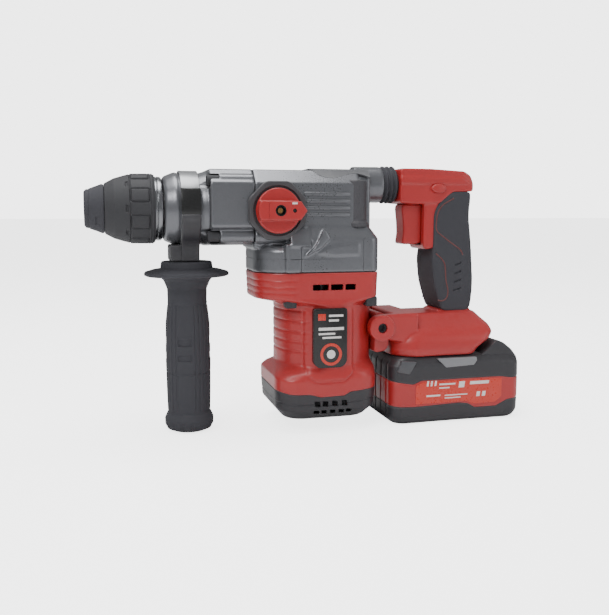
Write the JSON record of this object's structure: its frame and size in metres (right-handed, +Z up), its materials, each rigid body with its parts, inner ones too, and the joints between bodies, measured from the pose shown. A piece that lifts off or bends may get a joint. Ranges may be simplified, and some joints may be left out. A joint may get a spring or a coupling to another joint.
{
  "type": "cordless rotary hammer",
  "caption": "Cordless rotary hammer with an upright motor, locking chuck, mode knob, sprung D-handle, clamped side handle and a slide-on battery it stands on.",
  "frame": {"origin": "centre of the battery's bottom face, which the tool stands on", "axes": "+Z up, -X the way the chuck points, -Y the side with the mode knob; the mid-plane is Y = 0"},
  "size_m": [0.3457, 0.0876, 0.2061],
  "materials": {
    "red_plastic": "fine-textured moulded plastic",
    "grey_metal": "die-cast alloy with a satin grey coat",
    "grey_plastic": "dark grey moulded plastic",
    "black_plastic": "black moulded plastic",
    "black_rubber": "soft black rubber",
    "bright_steel": "ground steel",
    "bare_aluminium": "machined aluminium",
    "copper_core": "laminated core with copper windings",
    "cell_green": "sleeved battery cells, light for their size",
    "badge_black": "gloss black panel"
  },
  "bodies": {
    "hammer_body": {"barrel_housing": "grey_metal", "barrel_bolt_1": "black_plastic", "barrel_bolt_2": "black_plastic", "barrel_bolt_3": "black_plastic", "barrel_bolt_4": "black_plastic", "spindle_bearing": "bright_steel", "gear_case": "grey_metal", "crank_cover": "black_plastic", "mode_bezel": "grey_metal", "motor_housing": "red_plastic", "motor_end_cap": "grey_plastic", "bearing_plate": "bare_aluminium", "stator": "copper_core", "motor_badge": "badge_black", "motor_front_bearing": "bright_steel", "motor_rear_bearing": "bright_steel", "crank_bearing": "bright_steel", "bevel_shaft_bearing": "bright_steel", "damper_spring": "bright_steel", "damper_bellows": "black_rubber"},
    "spindle": {"tool_holder": "bright_steel", "spindle_cylinder": "bright_steel", "bevel_ring_gear": "bright_steel", "dust_cap": "black_rubber", "chuck_ring": "bright_steel", "lock_ball_upper": "bright_steel", "lock_ball_lower": "bright_steel", "sleeve_spring": "bright_steel"},
    "sleeve": {"locking_sleeve": "black_plastic"},
    "rotor": {"motor_shaft": "bright_steel", "rotor_core": "bright_steel", "cooling_fan": "black_plastic"},
    "bevel_shaft": {"bevel_pinion_shaft": "bright_steel", "bevel_shaft_gear": "bright_steel"},
    "crank": {"crank_shaft": "bright_steel", "crank_gear": "bright_steel"},
    "piston": {"piston": "bare_aluminium", "wrist_pin": "bright_steel"},
    "con_rod": {"connecting_rod": "bare_aluminium"},
    "striker": {"striker": "bright_steel"},
    "impact_bolt": {"impact_bolt": "bright_steel"},
    "mode_knob": {"mode_knob": "red_plastic", "knob_screw": "bright_steel"},
    "side_handle": {"clamp_band": "black_plastic", "clamp_saddle": "black_plastic", "clamp_rod": "bright_steel"},
    "side_grip": {"side_grip": "black_rubber"},
    "handle": {"handle_shell_left": "red_plastic", "handle_shell_right": "red_plastic", "grip_rubber": "black_rubber", "switch_body": "black_plastic", "terminal_block": "black_plastic", "pivot_pin": "bright_steel"},
    "trigger": {"trigger": "red_plastic"},
    "direction_button": {"direction_button": "red_plastic"},
    "battery": {"battery_base": "grey_plastic", "battery_band": "red_plastic", "battery_top": "grey_plastic", "cell_pack": "cell_green"},
    "battery_latch": {"battery_latch": "black_plastic"}
  },
  "joints": [
    {"name": "spindle_spin", "type": "hinge", "parent": "hammer_body", "child": "spindle", "pos_m": [-0.2875, 0, 0.1715], "axis": [1, 0, 0], "continuous": true},
    {"name": "bevel_shaft_spin", "type": "hinge", "parent": "hammer_body", "child": "bevel_shaft", "pos_m": [-0.127, 0, 0.127], "axis": [0, 0, 1], "continuous": true},
    {"name": "rotor_spin", "type": "hinge", "parent": "hammer_body", "child": "rotor", "pos_m": [-0.105, 0, 0.05], "axis": [0, 0, 1], "continuous": true},
    {"name": "crank_spin", "type": "hinge", "parent": "hammer_body", "child": "crank", "pos_m": [-0.09, 0, 0.127], "axis": [0, 0, 1], "continuous": true},
    {"name": "sleeve_slide", "type": "slide", "parent": "spindle", "child": "sleeve", "axis": [1, 0, 0], "range_m": [0, 0.007], "stiffness_N_per_m": 2500, "springref_m": -0.003, "deforming": ["sleeve_spring"]},
    {"name": "piston_slide", "type": "slide", "parent": "hammer_body", "child": "piston", "axis": [-1, 0, 0], "range_m": [0, 0.014]},
    {"name": "con_rod_swing", "type": "hinge", "parent": "piston", "child": "con_rod", "pos_m": [-0.123, 0, 0.1715], "axis": [0, 0, 1], "range_deg": [-10, 10]},
    {"name": "striker_slide", "type": "slide", "parent": "spindle", "child": "striker", "axis": [-1, 0, 0], "range_m": [-0.006, 0.006]},
    {"name": "impact_bolt_slide", "type": "slide", "parent": "spindle", "child": "impact_bolt", "axis": [-1, 0, 0], "range_m": [-0.002, 0.004]},
    {"name": "mode_knob_turn", "type": "hinge", "parent": "hammer_body", "child": "mode_knob", "pos_m": [-0.149, -0.04, 0.17], "axis": [0, -1, 0], "range_deg": [-90, 90]},
    {"name": "side_handle_swing", "type": "hinge", "parent": "hammer_body", "child": "side_handle", "pos_m": [-0.213, 0, 0.1715], "axis": [1, 0, 0], "range_deg": [-180, 180]},
    {"name": "side_grip_twist", "type": "hinge", "parent": "side_handle", "child": "side_grip", "pos_m": [-0.213, 0, 0.1], "axis": [0, 0, -1], "range_deg": [0, 720]},
    {"name": "handle_pivot", "type": "hinge", "parent": "hammer_body", "child": "handle", "pos_m": [-0.0645, 0, 0.0785], "axis": [0, 1, 0], "range_deg": [-2, 0], "stiffness_Nm_per_rad": 90, "springref_deg": 2.86, "deforming": ["damper_spring", "damper_bellows"]},
    {"name": "trigger_pull", "type": "slide", "parent": "handle", "child": "trigger", "axis": [1, 0, 0], "range_m": [0, 0.006], "stiffness_N_per_m": 1200, "springref_m": -0.003},
    {"name": "direction_button_slide", "type": "slide", "parent": "handle", "child": "direction_button", "axis": [0, 1, 0], "range_m": [-0.002, 0.002]},
    {"name": "battery_slide", "type": "slide", "parent": "handle", "child": "battery", "axis": [1, 0, 0], "range_m": [0, 0.095]},
    {"name": "battery_latch_press", "type": "slide", "parent": "battery", "child": "battery_latch", "axis": [0, 0, -1], "range_m": [0, 0.003], "stiffness_N_per_m": 1500, "springref_m": -0.002}
  ],
  "couplings": [
    {"joint": "bevel_shaft_spin", "follows": "spindle_spin", "ratio": -3},
    {"joint": "rotor_spin", "follows": "spindle_spin", "ratio": 13.5},
    {"joint": "crank_spin", "follows": "spindle_spin", "ratio": -4.9091}
  ]
}
